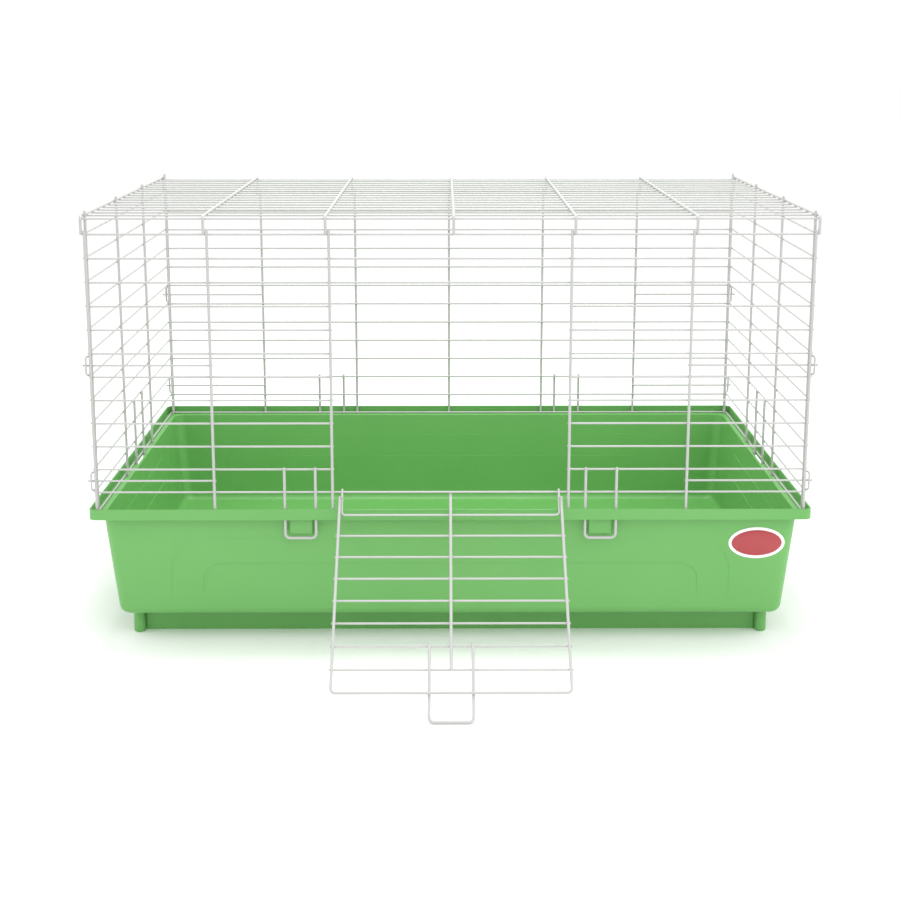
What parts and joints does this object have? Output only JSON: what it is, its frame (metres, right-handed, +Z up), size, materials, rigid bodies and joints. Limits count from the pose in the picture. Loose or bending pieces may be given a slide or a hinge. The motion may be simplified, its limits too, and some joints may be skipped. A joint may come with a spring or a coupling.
{
  "type": "rabbit hutch",
  "caption": "Wire small-animal hutch on a moulded plastic tray, with a hinged lid and a fold-down ramp door at the front.",
  "frame": {"origin": "centre of the tray's footprint, on the surface that it stands on", "axes": "+X to the right along the long front, +Y to the back, +Z up; the ramp door is at the front, on the -Y side"},
  "size_m": [0.766, 0.6379, 0.4713],
  "materials": {
    "tray_plastic": "satin moulded",
    "wire_coating": "satin powder coat on steel wire",
    "badge_film": "gloss label film"
  },
  "bodies": {
    "tray": {"tray": "tray_plastic", "badge": "badge_film"},
    "cage": {"front_full_cross_wires": "wire_coating", "front_left_cross_wires": "wire_coating", "front_right_cross_wires": "wire_coating", "front_uprights": "wire_coating", "front_corner_hook_wires": "wire_coating", "front_lock_loops": "wire_coating", "back_cross_wires": "wire_coating", "back_uprights": "wire_coating", "back_corner_hook_wires": "wire_coating", "back_lock_loops": "wire_coating", "left_cross_wires": "wire_coating", "left_uprights": "wire_coating", "left_corner_bows": "wire_coating", "left_lock_loop": "wire_coating", "right_cross_wires": "wire_coating", "right_uprights": "wire_coating", "right_corner_bows": "wire_coating", "right_lock_loop": "wire_coating"},
    "roof": {"roof_hinge_wires": "wire_coating", "roof_edge_wires": "wire_coating", "roof_cross_wires": "wire_coating"},
    "ramp": {"ramp_frame": "wire_coating", "ramp_hinge_wire": "wire_coating", "ramp_rungs": "wire_coating", "ramp_centre_wire": "wire_coating", "ramp_latch_loop": "wire_coating"}
  },
  "joints": [
    {"name": "cage_lift", "type": "slide", "parent": "tray", "child": "cage", "axis": [0, 0, 1], "range_m": [0, 0.12]},
    {"name": "roof_hinge", "type": "hinge", "parent": "cage", "child": "roof", "pos_m": [0, 0.22185, 0.44768], "axis": [-1, 0, 0], "range_deg": [0, 100]},
    {"name": "ramp_hinge", "type": "hinge", "parent": "cage", "child": "ramp", "pos_m": [0, -0.22185, 0.17334], "axis": [-1, 0, 0], "range_deg": [0, 131.3]}
  ]
}
